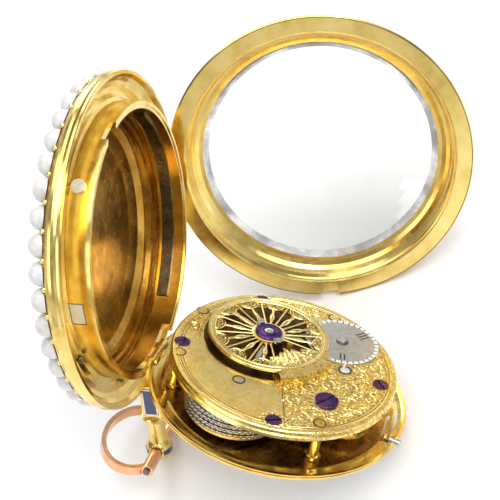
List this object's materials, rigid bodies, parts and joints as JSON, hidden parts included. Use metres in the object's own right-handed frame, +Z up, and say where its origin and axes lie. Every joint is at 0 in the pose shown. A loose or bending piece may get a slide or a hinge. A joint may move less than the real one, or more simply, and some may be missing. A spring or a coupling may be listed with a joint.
{
  "type": "open face pocket watch",
  "caption": "Verge pocket watch shown open: glazed bezel and hinged fusee movement swung out of a pearl-set gilt case with an enamelled pendant and a bow.",
  "frame": {"origin": "centre of the underside of the bounding box, on the table plane that the open watch rests on", "axes": "+Z up from the table; the pendant points down and forward; the open movement hangs below the case, and Y runs along the longest extent"},
  "size_m": [0.0658, 0.0756, 0.0702],
  "materials": {
    "gold": "gilt brass, polished",
    "rose_gold": "rose gilt, polished",
    "steel": "polished steel",
    "dark_steel": "dark steel",
    "blued_steel": "heat-blued steel",
    "silver": "silvered",
    "pearl": "pearl lustre",
    "enamel_blue": "glossy enamel",
    "enamel_white": "glossy enamel",
    "glass": "clear"
  },
  "bodies": {
    "case": {"case_band": "gold", "case_collar": "gold", "case_back": "gold", "back_enamel": "enamel_blue", "back_pearls": "pearl", "collar_screw": "steel", "channel_screws": "dark_steel", "case_spring": "dark_steel", "movement_hinge_pin": "steel", "bezel_hinge_pin": "steel", "pendant": "gold", "pendant_enamel": "enamel_blue", "bow_screw": "dark_steel"},
    "bezel_catch": {"bezel_catch": "steel"},
    "bezel": {"bezel_ring": "gold", "crystal": "glass", "front_pearls": "pearl"},
    "bow": {"bow_ring": "rose_gold"},
    "movement": {"pillar_plate": "gold", "brass_edge": "gold", "dial": "enamel_white", "pillars": "gold", "top_plate": "gold", "barrel_bridge": "gold", "balance_cock": "gold", "cock_screw": "blued_steel", "coqueret": "blued_steel", "cap_screws": "steel", "plate_screws": "blued_steel", "potence": "gold", "counter_potence": "gold", "edge_scroll": "gold", "balance_spring": "blued_steel", "spring_stud": "gold", "index_pointer": "gold", "stop_iron": "steel", "barrel_arbor": "steel", "setup_click": "steel", "chain": "dark_steel", "catch_spring": "steel"},
    "regulator_rack": {"regulator_rack": "gold"},
    "figure_plate": {"figure_plate": "silver", "regulator_arbor": "steel"},
    "barrel": {"barrel": "gold", "barrel_cover": "gold", "mainspring": "dark_steel"},
    "fusee": {"fusee": "gold", "great_wheel": "gold"},
    "centre": {"centre_wheel": "gold"},
    "third": {"third_wheel": "gold"},
    "contrate": {"contrate_wheel": "gold"},
    "crown": {"crown_wheel": "gold"},
    "balance": {"verge_staff": "steel", "balance_wheel": "gold"},
    "cannon": {"cannon_pinion": "steel", "minute_hand": "gold"},
    "minute_wheel": {"minute_wheel": "gold"},
    "hour": {"hour_wheel": "gold", "hour_hand": "gold"},
    "catch_bolt": {"catch_bolt": "steel"}
  },
  "joints": [
    {"name": "bezel_hinge", "type": "hinge", "parent": "case", "child": "bezel", "pos_m": [0.01853, -0.01782, 0.03242], "axis": [0.1499, 0.373, -0.9156], "range_deg": [0, 18]},
    {"name": "movement_hinge", "type": "hinge", "parent": "case", "child": "movement", "pos_m": [0.01772, 0.01468, 0.02188], "axis": [-0.0603, 0.9278, 0.3681], "range_deg": [0, 105.5]},
    {"name": "bow_swivel", "type": "hinge", "parent": "case", "child": "bow", "pos_m": [0.02322, 0.02223, 0.00375], "axis": [-0.0603, 0.9278, 0.3681], "range_deg": [-8, 190]},
    {"name": "bezel_catch_press", "type": "slide", "parent": "case", "child": "bezel_catch", "axis": [0.055, -0.9403, -0.3359], "range_m": [0, 0.0005], "stiffness_N_per_m": 1500},
    {"name": "catch_bolt_slide", "type": "slide", "parent": "movement", "child": "catch_bolt", "axis": [0.903, -0.2908, 0.3161], "range_m": [0, 0.0004], "stiffness_N_per_m": 1000},
    {"name": "balance_swing", "type": "hinge", "parent": "movement", "child": "balance", "pos_m": [0.00096, 0.01182, 0.01546], "axis": [0.4093, 0.3593, -0.8387], "range_deg": [-50, 50], "stiffness_Nm_per_rad": 0.0000008},
    {"name": "figure_plate_turn", "type": "hinge", "parent": "movement", "child": "figure_plate", "pos_m": [-0.01115, 0.00649, 0.01144], "axis": [0.4093, 0.3593, -0.8387], "range_deg": [-60, 60]},
    {"name": "regulator_rack_swing", "type": "hinge", "parent": "movement", "child": "regulator_rack", "pos_m": [-0.00039, 0.01064, 0.01823], "axis": [0.4093, 0.3593, -0.8387], "range_deg": [-12, 12]},
    {"name": "centre_spin", "type": "hinge", "parent": "movement", "child": "centre", "pos_m": [-0.00301, 0.01594, 0.01529], "axis": [0.4093, 0.3593, -0.8387], "continuous": true},
    {"name": "fusee_spin", "type": "hinge", "parent": "movement", "child": "fusee", "pos_m": [-0.00884, 0.01014, 0.00996], "axis": [0.4093, 0.3593, -0.8387], "continuous": true},
    {"name": "barrel_spin", "type": "hinge", "parent": "movement", "child": "barrel", "pos_m": [0.00134, 0.02408, 0.0209], "axis": [0.4093, 0.3593, -0.8387], "continuous": true},
    {"name": "third_spin", "type": "hinge", "parent": "movement", "child": "third", "pos_m": [-0.00823, 0.02202, 0.01534], "axis": [0.4093, 0.3593, -0.8387], "continuous": true},
    {"name": "contrate_spin", "type": "hinge", "parent": "movement", "child": "contrate", "pos_m": [-0.01443, 0.02152, 0.0121], "axis": [0.4093, 0.3593, -0.8387], "continuous": true},
    {"name": "crown_spin", "type": "hinge", "parent": "movement", "child": "crown", "pos_m": [0.0011, 0.01195, 0.01517], "axis": [-0.8321, 0.524, -0.1816], "continuous": true},
    {"name": "minute_hand_spin", "type": "hinge", "parent": "movement", "child": "cannon", "pos_m": [-0.00056, 0.0181, 0.01026], "axis": [0.4093, 0.3593, -0.8387], "continuous": true},
    {"name": "minute_wheel_spin", "type": "hinge", "parent": "movement", "child": "minute_wheel", "pos_m": [-0.00319, 0.01463, 0.00987], "axis": [0.4093, 0.3593, -0.8387], "continuous": true},
    {"name": "hour_hand_spin", "type": "hinge", "parent": "movement", "child": "hour", "pos_m": [-0.00097, 0.01774, 0.01109], "axis": [0.4093, 0.3593, -0.8387], "continuous": true}
  ],
  "couplings": [
    {"joint": "fusee_spin", "follows": "centre_spin", "ratio": -0.25},
    {"joint": "barrel_spin", "follows": "centre_spin", "ratio": -0.175},
    {"joint": "third_spin", "follows": "centre_spin", "ratio": -9},
    {"joint": "contrate_spin", "follows": "centre_spin", "ratio": 72},
    {"joint": "crown_spin", "follows": "centre_spin", "ratio": 576},
    {"joint": "minute_hand_spin", "follows": "centre_spin", "ratio": 1},
    {"joint": "minute_wheel_spin", "follows": "centre_spin", "ratio": -0.33333},
    {"joint": "hour_hand_spin", "follows": "centre_spin", "ratio": 0.083333},
    {"joint": "regulator_rack_swing", "follows": "figure_plate_turn", "ratio": -0.2}
  ]
}
